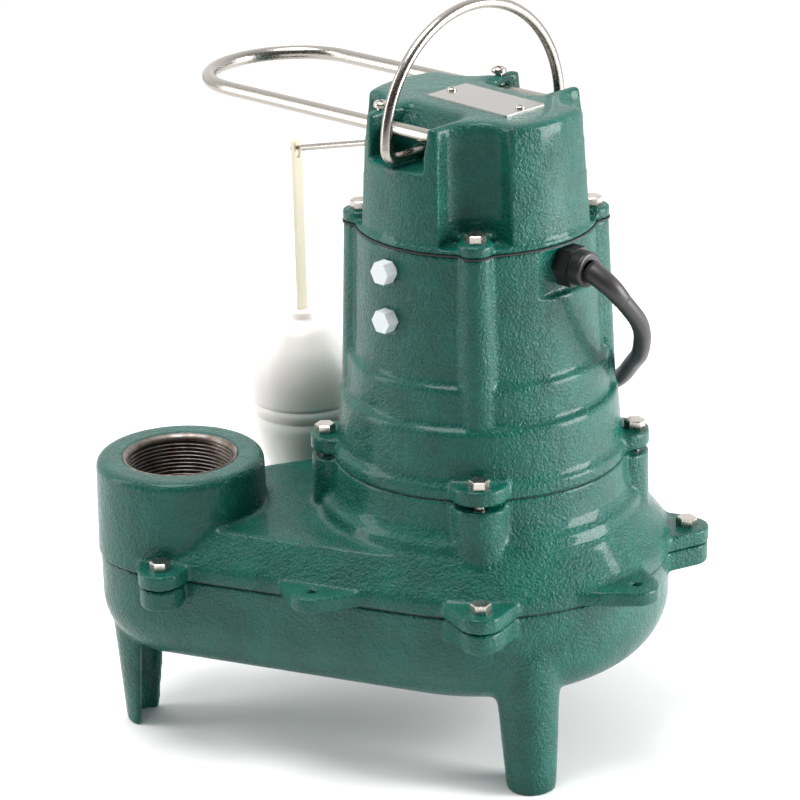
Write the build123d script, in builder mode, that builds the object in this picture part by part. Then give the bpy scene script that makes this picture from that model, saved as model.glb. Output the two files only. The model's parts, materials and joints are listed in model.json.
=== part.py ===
"""Submersible sump pump: cast motor housing on a volute, with a tethered-rod float switch.

Millimetres, +Z up. The origin is the middle of the pump's footprint box, on the floor.
The shaft axis stands at (shaft_x, shaft_y); "s" runs along the handle's diagonal (+45 degrees)
and "t" along the float guard's diagonal (-45 degrees), both measured from the shaft axis.
"""
from build123d import *
from math import cos, radians, sin, sqrt, tan
import os

os.makedirs("parts", exist_ok=True)

# ---------------------------------------------------------------- driving dimensions
parting_z = 105.0          # volute cover to volute base
joint_z = 162.5            # motor housing to volute cover
housing_top_z = 292.8      # motor housing to switch cap
cap_top_z = 360.0
gasket = 0.8
volute_r = 104.5
boss_x, boss_y = -165.0, 2.0
boss_r = 47.0
boss_top_z = 159.0
thread_minor_r = 28.3      # 2 inch pipe thread, at the mouth
bowl_bottom_z = 47.0
wall = 7.0
flange_bolt_r = 84.6
cap_bolt_r = 61.7
cover_bolt_r = 113.0
cover_ear_reach = 12.5
stator_r = 58.9
shaft_r = 8.0
rod_r = 3.0                # handle wire
handle_half = 64.5
handle_foot_z = 339.5
guard_r = 3.9              # float guard wire
guard_half = 43.75
guard_bend_t = -148.0      # centre of the guard's end loop
guard_z = 348.8
guard_droop = 1.6
arm_pivot_t = -57.0
arm_pivot_z = 325.0
arm_r = 1.8
arm_droop = 14.5
float_t = -142.5
cord_d = 9.5
cord_r = cord_d / 2
coil_mean_d = 105.0

# the shaft axis is placed so that the pump's footprint box is centred on the origin
boss_flare = 0.4
left_reach = -boss_x + boss_r + boss_flare
right_reach = cover_bolt_r + cover_ear_reach
front_reach = cover_bolt_r + cover_ear_reach
guard_tip = -guard_bend_t * cos(radians(guard_droop)) / sqrt(2)
rear_reach = guard_tip + guard_half + guard_r
shaft_x = (left_reach - right_reach) / 2
shaft_y = (front_reach - rear_reach) / 2

diagonal_s = 45.0
diagonal_t = -45.0
quarters = (0, 90, 180, 270)


# ---------------------------------------------------------------- places
def at(x, y, z):
    """A point given from the shaft axis."""
    return (shaft_x + x, shaft_y + y, z)


def st(s, t):
    """Diagonal coordinates to x, y from the shaft axis."""
    return ((s + t) / sqrt(2), (s - t) / sqrt(2))


def level(z, x=0.0, y=0.0, turn=0.0):
    """Horizontal plane at height z."""
    a = radians(turn)
    return Plane(origin=at(x, y, z), x_dir=(cos(a), sin(a), 0), z_dir=(0, 0, 1))


def upright(turn=0.0, x=0.0, y=0.0):
    """Vertical plane: local x is radial at the given turn, local y is the height."""
    a = radians(turn)
    return Plane(origin=at(x, y, 0), x_dir=(cos(a), sin(a), 0), z_dir=(sin(a), -cos(a), 0))


def facing(turn, radius, z):
    """Plane whose normal points outward at the given turn."""
    a = radians(turn)
    return Plane(origin=at(radius * cos(a), radius * sin(a), z),
                 x_dir=(-sin(a), cos(a), 0), z_dir=(cos(a), sin(a), 0))


axis = Axis(at(0, 0, 0), (0, 0, 1))


def spot(radius, turn):
    """Bolt place on a circle about the shaft axis."""
    return (radius * cos(radians(turn)), radius * sin(radians(turn)))


def round_edges(piece, z, low_r, high_r, x=0.0, y=0.0):
    """Circular edges at height z about (x, y), with a radius between two limits."""
    centre = Vector(*at(x, y, z))
    return [e for e in piece.edges().filter_by(GeomType.CIRCLE)
            if abs(e.arc_center.Z - z) < 0.05 and low_r < e.radius < high_r
            and (e.arc_center - centre).length < 0.5]


def finish(piece, name):
    piece.part.label = name
    export_step(piece.part, f"parts/{name}.step")


# ---------------------------------------------------------------- shared outlines
def volute_outline(inset=0.0):
    """Snail outline: the impeller circle and the discharge circle, with tangents."""
    Circle(volute_r - inset)
    with Locations((boss_x, boss_y)):
        Circle(boss_r - inset)
    make_hull()


def ear_outline(radius, turn, tip_r, root_r, root_half, root_back):
    """D-shaped bolt ear: round tip about the bolt, flaring into the body."""
    a = radians(turn)
    tip = (radius * cos(a), radius * sin(a))
    back = radius - root_back
    roots = [(back * cos(a) - k * root_half * sin(a), back * sin(a) + k * root_half * cos(a))
             for k in (-1, 1)]
    with Locations(tip):
        Circle(tip_r)
    with Locations(*roots):
        Circle(root_r)
    make_hull()


def hex_bolt(x, y, seat_z, reach, across=10.0, head=4.6, thread_r=2.9):
    """Hex-head bolt: head above the seat, shank below."""
    with BuildPart() as bolt:
        with BuildSketch(level(seat_z, x, y)):
            RegularPolygon(across / 2, 6, major_radius=False)
        extrude(amount=head)
        chamfer(bolt.faces().sort_by(Axis.Z)[-1].edges(), length=0.6)
        with BuildSketch(level(seat_z, x, y)):
            Circle(thread_r)
        extrude(amount=-reach)
    return bolt.part


cover_bolt_spots = [spot(cover_bolt_r, q) for q in (270, 0, 90)]
boss_bolt_spots = [(boss_x - 8.2, boss_y - 54.5), (boss_x - 8.2, boss_y + 54.5)]
bracket_hole_spots = [(82.4, -79.6), (-90.0, -83.7)]
bracket_roots = [((54.0, -82.5), (78.0, -55.0)), ((-62.6, -78.8), (-100.5, -68.0))]
ear_seat_z = parting_z + 8.8

# ================================================================ volute
# ---- volute_base: bowl, three legs, suction mouth
leg_top_z = 80.0
channel_turn = -20.0
with BuildPart() as volute_room:
    with BuildSketch(level(bowl_bottom_z + wall)):
        volute_outline(inset=wall + 1.0)
    extrude(amount=parting_z - bowl_bottom_z - wall)
    fillet(volute_room.faces().sort_by(Axis.Z)[0].edges(), radius=27)

# the left leg is an open channel that faces the shaft
with BuildPart() as left_leg:
    with BuildSketch(level(0, -187.5, 1.0)):
        Circle(14.2)
    with BuildSketch(level(leg_top_z, -188.5, 1.0)):
        Circle(19.4)
    loft()
    with BuildSketch(level(0, -187.5, 1.0, turn=channel_turn)):
        Circle(9.9)
        with Locations((12, 0)):
            Rectangle(28, 52)
    with BuildSketch(level(66, -188.3, 1.0, turn=channel_turn)):
        Circle(13.8)
        with Locations((18, 0)):
            Rectangle(27.2, 60)
    loft(mode=Mode.SUBTRACT)

with BuildPart() as volute_base:
    with BuildSketch(level(bowl_bottom_z)):
        volute_outline(inset=1.0)
    extrude(amount=parting_z - gasket / 2 - bowl_bottom_z)
    fillet(volute_base.faces().sort_by(Axis.Z)[0].edges(), radius=34)
    # bolt bosses below the cover's bolted ears
    for x, y in cover_bolt_spots + boss_bolt_spots:
        with BuildSketch(level(parting_z - gasket / 2, x, y)):
            Circle(cover_ear_reach - 0.6)
        extrude(amount=-11.5)
    for q in (270, 0, 90):
        with BuildSketch(level(parting_z - gasket / 2)):
            ear_outline(cover_bolt_r, q, cover_ear_reach - 0.6, 5.0, 17.0, 17.0)
        extrude(amount=-11.5)
    # front and rear legs: round, tapering to the foot
    for side in (-1, 1):
        with BuildSketch(level(0, 25.5, 90.0 * side)):
            Circle(13.4)
        with BuildSketch(level(leg_top_z, 23.6, 83.0 * side)):
            Circle(19.0)
        loft()
    # left leg below the discharge
    add(left_leg.part)
    # suction mouth with a thickened lip
    with BuildSketch(level(bowl_bottom_z - 3.5)):
        Circle(45)
    extrude(amount=12)
    add(volute_room.part, mode=Mode.SUBTRACT)
    with BuildSketch(level(bowl_bottom_z - 3.5)):
        Circle(33)
    extrude(amount=20, mode=Mode.SUBTRACT)
    for x, y in cover_bolt_spots + boss_bolt_spots:
        with BuildSketch(level(parting_z - gasket / 2, x, y)):
            Circle(3.0)
        extrude(amount=-10, mode=Mode.SUBTRACT)
finish(volute_base, "volute_base")

# ---- volute_gasket
with BuildPart() as volute_gasket:
    with BuildSketch(level(parting_z - gasket / 2)):
        volute_outline(inset=1.6)
    extrude(amount=gasket)
    with BuildSketch(level(parting_z - gasket / 2)):
        volute_outline(inset=wall + 1.0)
    extrude(amount=gasket, mode=Mode.SUBTRACT)
finish(volute_gasket, "volute_gasket")

# ---- volute_cover: snail dome, collar, discharge boss, posts and ears
dome_z = 131.4
cover_bottom_z = parting_z + gasket / 2
cover_top_z = joint_z - 0.4
post_top_z = 160.0
hub_r = 31.0
collar_room_r = 70.0
collar_floor_z = 137.0
bearing_r = 23.5
bearing_h = 14.0
lower_bearing_z = 139.0
seal_pocket_r = 17.0
seal_pocket_h = 7.0
chamber_top_z = 125.0
with BuildPart() as cover_room:
    with BuildSketch(level(cover_bottom_z)):
        volute_outline(inset=wall + 1.0)
    extrude(amount=8.0)
    with BuildSketch(level(cover_bottom_z + 8.0)):
        volute_outline(inset=wall + 1.0)
    extrude(amount=chamber_top_z - cover_bottom_z - 8.0, taper=35)

with BuildPart() as volute_cover:
    with BuildSketch(level(cover_bottom_z)):
        volute_outline()
    extrude(amount=ear_seat_z - cover_bottom_z, taper=3)
    with BuildSketch(level(ear_seat_z)):
        volute_outline(inset=0.45)
    extrude(amount=dome_z - ear_seat_z, taper=38)
    # collar in two soft steps
    with BuildSketch(upright()):
        with BuildLine():
            Polyline((0, 118), (93, 118), (91, 131), (88.4, 133.5), (87.0, 138.5), (84.2, 141),
                     (82.2, 145), (81.2, 152), (80.7, cover_top_z), (0, cover_top_z), close=True)
        make_face()
    revolve(axis=axis)
    # discharge boss
    with BuildSketch(level(cover_bottom_z, boss_x, boss_y)):
        Circle(boss_r + boss_flare)
    extrude(amount=boss_top_z - cover_bottom_z, taper=1.2)
    fillet(round_edges(volute_cover, boss_top_z, 40, 50, boss_x, boss_y), radius=4.5)
    # posts under the motor housing's ears
    for q in quarters:
        with BuildSketch(level(118, *spot(flange_bolt_r - 7.6, q))):
            Circle(15.6)
        extrude(amount=post_top_z - 118, taper=0.6)
    # bolted ears and bracket ears
    for q in (270, 0, 90):
        with BuildSketch(level(cover_bottom_z)):
            ear_outline(cover_bolt_r, q, cover_ear_reach, 5.0, 18.0, 16.0)
        extrude(amount=ear_seat_z - cover_bottom_z)
    for x, y in boss_bolt_spots:
        with BuildSketch(level(cover_bottom_z, x, y)):
            Circle(cover_ear_reach)
            with Locations((2, 10 if y < 0 else -10)):
                Rectangle(30, 8)
            make_hull()
        extrude(amount=ear_seat_z - cover_bottom_z)
    for tip, roots in zip(bracket_hole_spots, bracket_roots):
        with BuildSketch(level(cover_bottom_z)):
            with Locations(tip):
                Circle(12.5)
            with Locations(*roots):
                Circle(8.0)
            make_hull()
        extrude(amount=ear_seat_z - cover_bottom_z)
    # hollow underside, bearing room, shaft passage
    add(cover_room.part, mode=Mode.SUBTRACT)
    with BuildSketch(level(collar_floor_z)):
        Circle(collar_room_r)
        Circle(hub_r, mode=Mode.SUBTRACT)
    extrude(amount=joint_z - collar_floor_z, mode=Mode.SUBTRACT)
    with BuildSketch(level(lower_bearing_z + bearing_h)):
        Circle(hub_r + 1)
    extrude(amount=20, mode=Mode.SUBTRACT)
    with BuildSketch(level(lower_bearing_z)):
        Circle(bearing_r)
    extrude(amount=20, mode=Mode.SUBTRACT)
    with BuildSketch(level(chamber_top_z - 1)):
        Circle(shaft_r + 2.5)
    extrude(amount=20, mode=Mode.SUBTRACT)
    with BuildSketch(level(chamber_top_z - 1)):
        Circle(seal_pocket_r)
    extrude(amount=1 + seal_pocket_h, mode=Mode.SUBTRACT)
    # discharge bore with its lead-in chamfer
    with BuildSketch(level(chamber_top_z - 12, boss_x, boss_y)):
        Circle(thread_minor_r)
    extrude(amount=60, mode=Mode.SUBTRACT)
    chamfer(round_edges(volute_cover, boss_top_z, 27, 30, boss_x, boss_y), length=3.2)
    # bolt holes
    for x, y in cover_bolt_spots + boss_bolt_spots:
        with BuildSketch(level(cover_bottom_z, x, y)):
            Circle(3.3)
        extrude(amount=12, mode=Mode.SUBTRACT)
    for x, y in bracket_hole_spots:
        with BuildSketch(level(cover_bottom_z, x, y)):
            Circle(2.6)
        extrude(amount=12, mode=Mode.SUBTRACT)
    for q in quarters:
        with BuildSketch(level(post_top_z, *spot(flange_bolt_r, q))):
            Circle(3.0)
        extrude(amount=-18, mode=Mode.SUBTRACT)
finish(volute_cover, "volute_cover")

with BuildPart() as cover_bolts:
    for x, y in cover_bolt_spots + boss_bolt_spots:
        add(hex_bolt(x, y, ear_seat_z, reach=ear_seat_z - parting_z + 8))
finish(cover_bolts, "cover_bolts")

# ================================================================ motor housing
housing_ear_z = 163.4
housing_ear_top = 172.0
bore_r = 59.0
plate_r = 60.0
plate_z = 264.5
gland_turn = -41.0
gland_z = 280.5
gland_flat_r = 62.0
plug_turn = -134.0
plug_heights = (280.4, 253.4)
plug_seat_r = 66.0
with BuildPart() as motor_housing:
    # stepped barrel
    with BuildSketch(upright()):
        with BuildLine():
            Polyline((0, joint_z), (80.7, joint_z), (80.5, 168.6), (78.6, 170.4), (77.6, 172.5),
                     (75.6, 197.6), (74.6, 199.2), (72.2, 200.2), (71.6, 202.0), (70.9, 219.6),
                     (70.2, 221.2), (68.2, 222.0), (67.7, 223.6), (65.3, housing_top_z),
                     (0, housing_top_z), close=True)
        make_face()
    revolve(axis=axis)
    # bolt columns
    for q in quarters:
        with BuildSketch(level(193.0, *spot(cap_bolt_r + 1.6, q))):
            Circle(11.4)
        with BuildSketch(level(housing_top_z, *spot(cap_bolt_r, q))):
            Circle(9.2)
        loft()
        with BuildSketch(level(housing_ear_z, *spot(flange_bolt_r - 7.6, q))):
            Circle(15.6)
        extrude(amount=housing_ear_top - housing_ear_z)
    # seat for the cord gland: a flat cut into the barrel
    with BuildSketch(facing(gland_turn, gland_flat_r, 266)):
        with Locations((0, 12.75)):
            RectangleRounded(56, 25.5, 8)
    extrude(amount=20, mode=Mode.SUBTRACT)
    # motor bore, bearing plate seat and open bottom
    with BuildSketch(level(175)):
        Circle(bore_r)
    extrude(amount=housing_top_z - 175, mode=Mode.SUBTRACT)
    with BuildSketch(level(plate_z)):
        Circle(plate_r)
    extrude(amount=housing_top_z - plate_z, mode=Mode.SUBTRACT)
    with BuildSketch(level(joint_z)):
        Circle(68)
    extrude(amount=18, mode=Mode.SUBTRACT)
    # bolt holes
    for q in quarters:
        with BuildSketch(level(housing_top_z, *spot(cap_bolt_r, q))):
            Circle(2.95)
        extrude(amount=-22, mode=Mode.SUBTRACT)
        with BuildSketch(level(housing_ear_z, *spot(flange_bolt_r, q))):
            Circle(3.3)
        extrude(amount=12, mode=Mode.SUBTRACT)
    # cord entry and the two oil plug holes
    with BuildSketch(facing(gland_turn, 50, gland_z)):
        Circle(8.0)
    extrude(amount=20, mode=Mode.SUBTRACT)
    for z in plug_heights:
        with BuildSketch(facing(plug_turn, 50, z)):
            Circle(5.0)
        extrude(amount=30, mode=Mode.SUBTRACT)
        with BuildSketch(facing(plug_turn, plug_seat_r, z)):
            Circle(7.0)
        extrude(amount=6, mode=Mode.SUBTRACT)
finish(motor_housing, "motor_housing")

with BuildPart() as housing_seal:
    with BuildSketch(level(cover_top_z)):
        Circle(79.8)
        Circle(72.0, mode=Mode.SUBTRACT)
    extrude(amount=joint_z - cover_top_z)
finish(housing_seal, "housing_seal")

with BuildPart() as housing_bolts:
    for q in quarters:
        add(hex_bolt(*spot(flange_bolt_r, q), housing_ear_top, reach=24))
finish(housing_bolts, "housing_bolts")

# moulded hexagon plugs in the oil filling holes
with BuildPart() as oil_plugs:
    for z in plug_heights:
        with BuildSketch(facing(plug_turn, plug_seat_r, z)):
            RegularPolygon(5.6, 6, major_radius=False)
        extrude(amount=7.2)
        with BuildSketch(facing(plug_turn, plug_seat_r, z)):
            Circle(4.95)
        extrude(amount=-6.5)
finish(oil_plugs, "oil_plugs")

# ================================================================ switch cap
cap_base_z = housing_top_z + gasket
cap_base_r = 64.0
cap_top_r = 60.0
scallop_r = 21.5
cap_ear_top = 300.2
pocket_half = 20.0
pocket_floor_z = 335.0
cap_room_r = 42.0
cap_room_top = 329.0
ridge_room_top = 353.5
guard_tilt = radians(guard_droop)


def guard_height(t):
    """Height of the guard wire's centre at a place along its diagonal."""
    return guard_z + (t + 48.0) * tan(guard_tilt)


def guard_plane():
    """The guard wire's plane: local x along t, local y along s."""
    a = radians(diagonal_t)
    along = Vector(cos(a) * cos(guard_tilt), sin(a) * cos(guard_tilt), sin(guard_tilt))
    across = Vector(cos(radians(diagonal_s)), sin(radians(diagonal_s)), 0)
    return Plane(origin=at(0, 0, guard_height(0)), x_dir=along, z_dir=along.cross(across))


with BuildPart() as cap_gasket:
    with BuildSketch(level(housing_top_z)):
        Circle(65.6)
        for q in quarters:
            with Locations(spot(cap_bolt_r, q)):
                Circle(9.9)
        Circle(60.9, mode=Mode.SUBTRACT)
        for q in quarters:
            with Locations(spot(cap_bolt_r, q)):
                Circle(3.1, mode=Mode.SUBTRACT)
    extrude(amount=gasket)
finish(cap_gasket, "cap_gasket")

with BuildPart() as switch_cap:
    with BuildSketch(level(cap_base_z)):
        Circle(cap_base_r)
    with BuildSketch(level(cap_top_z)):
        Circle(cap_top_r)
    loft()
    # wrench scallops above the ears, drafted so that they open upward
    for q in quarters:
        with BuildSketch(level(cap_base_z, *spot(70.6, q))):
            Circle(scallop_r)
        with BuildSketch(level(cap_top_z, *spot(67.4, q))):
            Circle(scallop_r)
        loft(mode=Mode.SUBTRACT)
    # flange with ears
    with BuildSketch(level(cap_base_z)):
        Circle(cap_base_r + 1.2)
        for q in quarters:
            with Locations(spot(cap_bolt_r, q)):
                Circle(9.5)
    extrude(amount=2.4)
    with BuildSketch(level(cap_base_z)):
        for q in quarters:
            with Locations(spot(cap_bolt_r, q)):
                Circle(9.5)
            with Locations(spot(cap_bolt_r - 12, q)):
                Circle(9.5)
    extrude(amount=cap_ear_top - cap_base_z)
    # pockets for the handle's feet
    for side in (-1, 1):
        with BuildSketch(upright(diagonal_s)):
            with BuildLine():
                Polyline((side * 80, pocket_floor_z), (side * 42, pocket_floor_z), (side * 40, 341),
                         (side * 36, 347), (side * 24, cap_top_z + 2), (side * 80, cap_top_z + 2),
                         close=True)
            make_face()
        extrude(amount=pocket_half, both=True, mode=Mode.SUBTRACT)
    # switch room: round below, a narrower ridge room above
    with BuildSketch(level(cap_base_z)):
        Circle(cap_room_r)
    extrude(amount=cap_room_top - cap_base_z, mode=Mode.SUBTRACT)
    with BuildSketch(level(cap_base_z, turn=diagonal_t)):
        RectangleRounded(88, 40, 6)
    extrude(amount=ridge_room_top - cap_base_z, mode=Mode.SUBTRACT)
    # holes: handle feet, guard wire, arm seal, set screws, plate screws, cap bolts
    for turn in (diagonal_s, diagonal_s + 180):
        with BuildSketch(facing(turn, 31.5, handle_foot_z)):
            Circle(rod_r + 0.07)
        extrude(amount=15, mode=Mode.SUBTRACT)
    for side in (-1, 1):
        with BuildSketch(Plane(origin=guard_plane().from_local_coords((24.8, side * guard_half, 0)),
                               z_dir=-guard_plane().x_dir)):
            Circle(guard_r + 0.05)
        extrude(amount=110, mode=Mode.SUBTRACT)
        with BuildSketch(level(cap_top_z, *st(side * guard_half, -25.0))):
            Circle(2.45)
        extrude(amount=-9, mode=Mode.SUBTRACT)
    with BuildSketch(facing(diagonal_t + 180, 35, arm_pivot_z)):
        Circle(8.0)
    extrude(amount=35, mode=Mode.SUBTRACT)
    for t in (-16.7, 34.3):
        with BuildSketch(level(cap_top_z, *st(0, t))):
            Circle(1.4)
        extrude(amount=-5, mode=Mode.SUBTRACT)
    for q in quarters:
        with BuildSketch(level(cap_base_z, *spot(cap_bolt_r, q))):
            Circle(3.3)
        extrude(amount=9, mode=Mode.SUBTRACT)
finish(switch_cap, "switch_cap")

with BuildPart() as cap_bolts:
    for q in quarters:
        add(hex_bolt(*spot(cap_bolt_r, q), cap_ear_top, reach=24))
finish(cap_bolts, "cap_bolts")

with BuildPart() as nameplate:
    with BuildSketch(level(cap_top_z, *st(0, 8.8), turn=diagonal_t)):
        RectangleRounded(59, 29, 0.8)
    extrude(amount=0.8)
    for t in (-16.7, 34.3):
        with BuildSketch(level(cap_top_z, *st(0, t))):
            Circle(1.6)
        extrude(amount=2, mode=Mode.SUBTRACT)
finish(nameplate, "nameplate")


def pan_screw(x, y, seat_z, reach, head_r, head_h, thread_r):
    """Pan-head screw with a cross recess."""
    with BuildPart() as screw:
        with BuildSketch(level(seat_z, x, y)):
            Circle(head_r)
        extrude(amount=head_h)
        fillet(screw.faces().sort_by(Axis.Z)[-1].edges(), radius=head_h * 0.6)
        with BuildSketch(level(seat_z + head_h, x, y, turn=20)):
            Rectangle(head_r * 1.1, head_r * 0.24)
            Rectangle(head_r * 0.24, head_r * 1.1)
        extrude(amount=-head_h * 0.45, mode=Mode.SUBTRACT)
        with BuildSketch(level(seat_z, x, y)):
            Circle(thread_r)
        extrude(amount=-reach)
    return screw.part


with BuildPart() as nameplate_screws:
    for t in (-16.7, 34.3):
        add(pan_screw(*st(0, t), cap_top_z + 0.8, 5.0, 2.6, 1.5, 1.35))
finish(nameplate_screws, "nameplate_screws")

with BuildPart() as guard_screws:
    for side in (-1, 1):
        reach = cap_top_z - guard_height(-25.0) - guard_r - 0.1
        add(pan_screw(*st(side * guard_half, -25.0), cap_top_z, reach, 4.2, 2.8, 2.4))
finish(guard_screws, "guard_screws")

# ---- handle: half-round bail whose feet turn inward
foot_bend = 6.5
with BuildPart() as handle:
    with BuildLine(upright(diagonal_s)):
        foot_l = Line((-32, handle_foot_z), (-handle_half + foot_bend, handle_foot_z))
        bend_l = JernArc(foot_l @ 1, foot_l % 1, foot_bend, -90)
        bow = JernArc(bend_l @ 1, bend_l % 1, handle_half, -180)
        bend_r = JernArc(bow @ 1, bow % 1, foot_bend, -90)
        Line(bend_r @ 1, (32, handle_foot_z))
    with BuildSketch(facing(diagonal_s + 180, 32, handle_foot_z)):
        Circle(rod_r)
    sweep()
finish(handle, "handle")

# ---- float guard: long U of stainless wire held in the cap
with BuildPart() as float_guard:
    with BuildLine(guard_plane()):
        leg_l = Line((24.5, -guard_half), (guard_bend_t, -guard_half))
        end_bow = JernArc(leg_l @ 1, leg_l % 1, guard_half, -180)
        Line(end_bow @ 1, (24.5, guard_half))
    with BuildSketch(Plane(origin=leg_l @ 0, z_dir=leg_l % 0)):
        Circle(guard_r)
    sweep()
finish(float_guard, "float_guard")

# ================================================================ float switch
arm_slope = radians(arm_droop)
arm_turn = diagonal_t + 180
arm_length = (arm_pivot_t - float_t) / cos(arm_slope)
pin_r = 1.1
pin_step = 3.2             # arm's full section starts this far short of the rod
inner_reach = -38.0


def arm_point(reach):
    """Place on the float arm, reach outward from the pivot: t and height."""
    return arm_pivot_t - reach * cos(arm_slope), arm_pivot_z - reach * sin(arm_slope)


def arm_plane(reach):
    """Plane square to the arm, its normal pointing outward, local x along s."""
    t, z = arm_point(reach)
    out = radians(arm_turn)
    normal = Vector(cos(out) * cos(arm_slope), sin(out) * cos(arm_slope), -sin(arm_slope))
    along_s = (cos(radians(diagonal_s)), sin(radians(diagonal_s)), 0)
    return Plane(origin=at(*st(0, t), z), x_dir=along_s, z_dir=normal)


# rubber bush that seals the arm where it passes the cap's wall, waisted at the pivot
bush_inner = 52.5
bush_outer = 61.5
bush_mouth_r = 5.6
with BuildPart() as arm_seal:
    with BuildSketch(facing(arm_turn, bush_inner, arm_pivot_z)):
        Circle(7.95)
    extrude(amount=bush_outer - bush_inner)
    for mouth in (bush_inner - 0.5, bush_outer + 0.5):
        with BuildSketch(facing(arm_turn, mouth, arm_pivot_z)):
            Circle(bush_mouth_r)
        with BuildSketch(facing(arm_turn, -arm_pivot_t, arm_pivot_z)):
            Circle(arm_r + 0.5)
        loft(mode=Mode.SUBTRACT)
finish(arm_seal, "arm_seal")

with BuildPart() as float_arm:
    with BuildSketch(arm_plane(inner_reach + 3)):
        Circle(arm_r)
    extrude(amount=arm_length - pin_step - 2 - inner_reach - 3)
    # the outer end steps down to the pin that carries the rod
    with BuildSketch(arm_plane(arm_length - pin_step - 2)):
        Circle(arm_r)
    with BuildSketch(arm_plane(arm_length - pin_step)):
        Circle(pin_r)
    loft()
    with BuildSketch(arm_plane(arm_length - pin_step)):
        Circle(pin_r)
    extrude(amount=pin_step + 4.8)
    # paddle at the inner end, under the switch's button
    with BuildSketch(arm_plane(inner_reach)):
        RectangleRounded(9, 2.6, 0.8)
    extrude(amount=7)
finish(float_arm, "float_arm")

float_x, float_y = st(0, float_t)
pin_z = arm_point(arm_length)[1]
rod_top_z = pin_z + 5
slot_top_z = pin_z + 1.8
slot_bottom_z = pin_z - 5.4
collar_top_z = 208.0
rod_socket_z = 188.0
float_seam_z = 151.5
rod_width = 6.0
rod_thickness = 2.5
# flat moulded rod: its slotted head hangs on the arm's pin
with BuildPart() as float_rod:
    with BuildSketch(Plane(origin=at(float_x, float_y, 0),
                           x_dir=(cos(radians(diagonal_s)), sin(radians(diagonal_s)), 0),
                           z_dir=(cos(radians(diagonal_t)), sin(radians(diagonal_t)), 0))):
        with Locations((0, (rod_socket_z + rod_top_z) / 2)):
            RectangleRounded(rod_width, rod_top_z - rod_socket_z, 1.4)
        with Locations((0, (slot_top_z + slot_bottom_z) / 2)):
            RectangleRounded(3.0, slot_top_z - slot_bottom_z, 0.9, mode=Mode.SUBTRACT)
    extrude(amount=rod_thickness / 2, both=True)
finish(float_rod, "float_rod")

float_axis = Axis(at(float_x, float_y, 0), (0, 0, 1))
with BuildPart() as float_upper:
    with BuildSketch(upright(0, float_x, float_y)):
        with BuildLine():
            outer = Spline((9, 203), (17, 200.3), (22, 194.5), (26.6, 188), (29, 182), (30.8, 176),
                           (31.5, 169), (31.4, 160), (31.1, float_seam_z))
            Line((31.1, float_seam_z), (29.1, float_seam_z))
            inner = Spline((29.1, float_seam_z), (29.4, 160), (29.5, 169), (28.8, 175.6), (27.1, 181.3),
                           (24.8, 187), (20.4, 193), (15.9, 198.4), (8, 200.8))
            Polyline((8, 200.8), (8, 186), (0, 186), (0, collar_top_z), (9, collar_top_z), (9, 203))
        make_face()
    revolve(axis=float_axis)
    with BuildSketch(level(rod_socket_z, float_x, float_y, turn=diagonal_s)):
        Rectangle(rod_width + 0.1, rod_thickness + 0.1)
    extrude(amount=30, mode=Mode.SUBTRACT)
finish(float_upper, "float_upper")

with BuildPart() as float_lower:
    with BuildSketch(upright(0, float_x, float_y)):
        with BuildLine():
            outer = Spline((31.1, float_seam_z), (30.5, 147), (29.4, 140), (27.3, 130), (24.3, 118),
                           (21.4, 106), (18.4, 98), (13.8, 91.8), (8, 88.8), (0, 87.8))
            Line((0, 87.8), (0, 89.8))
            inner = Spline((0, 89.8), (7.5, 90.8), (12.7, 93.6), (16.7, 99), (19.5, 106.6), (22.4, 118.5),
                           (25.4, 130.4), (27.4, 140.3), (28.5, 147.2), (29.1, float_seam_z))
            Line((29.1, float_seam_z), (31.1, float_seam_z))
        make_face()
    revolve(axis=float_axis)
finish(float_lower, "float_lower")

# switch under the ridge's ceiling, worked by the arm's paddle
switch_floor_z = 338.0
button_t = -26.5
with BuildPart() as float_switch:
    with BuildSketch(level(switch_floor_z, *st(0, -21.0), turn=diagonal_t)):
        RectangleRounded(30, 17, 1.5)
    extrude(amount=12)
    with BuildSketch(level(switch_floor_z, *st(0, button_t))):
        Circle(2.5)
    extrude(amount=-2.2)
    # two terminals
    for t in (-14.0, -9.0):
        with BuildSketch(level(switch_floor_z, *st(0, t), turn=diagonal_t)):
            Rectangle(0.8, 4.8)
        extrude(amount=-6)
finish(float_switch, "float_switch")

with BuildPart() as switch_bracket:
    with BuildSketch(level(switch_floor_z + 12, *st(0, -21.0), turn=diagonal_t)):
        RectangleRounded(36, 22, 2)
    extrude(amount=ridge_room_top - switch_floor_z - 12)
    for side in (-1, 1):
        with BuildSketch(level(switch_floor_z + 3, *st(side * 9.4, -21.0), turn=diagonal_t)):
            Rectangle(26, 1.6)
        extrude(amount=10)
finish(switch_bracket, "switch_bracket")

# ================================================================ motor
# upper bearing plate with its hub
hub_bottom_z = 251.5
bearing_seat_z = 265.0
plate_top_z = 270.5
upper_bearing_r = 20.0
with BuildPart() as bearing_plate:
    with BuildSketch(level(plate_z)):
        Circle(plate_r - 0.1)
    extrude(amount=plate_top_z - plate_z)
    with BuildSketch(level(hub_bottom_z)):
        Circle(upper_bearing_r + 5)
    extrude(amount=plate_z - hub_bottom_z)
    with BuildSketch(level(hub_bottom_z)):
        Circle(upper_bearing_r)
    extrude(amount=bearing_seat_z - hub_bottom_z, mode=Mode.SUBTRACT)
    with BuildSketch(level(bearing_seat_z)):
        Circle(shaft_r + 1.5)
    extrude(amount=6, mode=Mode.SUBTRACT)
    # passages for the switch leads
    with BuildSketch(level(plate_z)):
        with PolarLocations(42, 3):
            SlotOverall(16, 7)
    extrude(amount=plate_top_z - plate_z, mode=Mode.SUBTRACT)
finish(bearing_plate, "bearing_plate")

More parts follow.
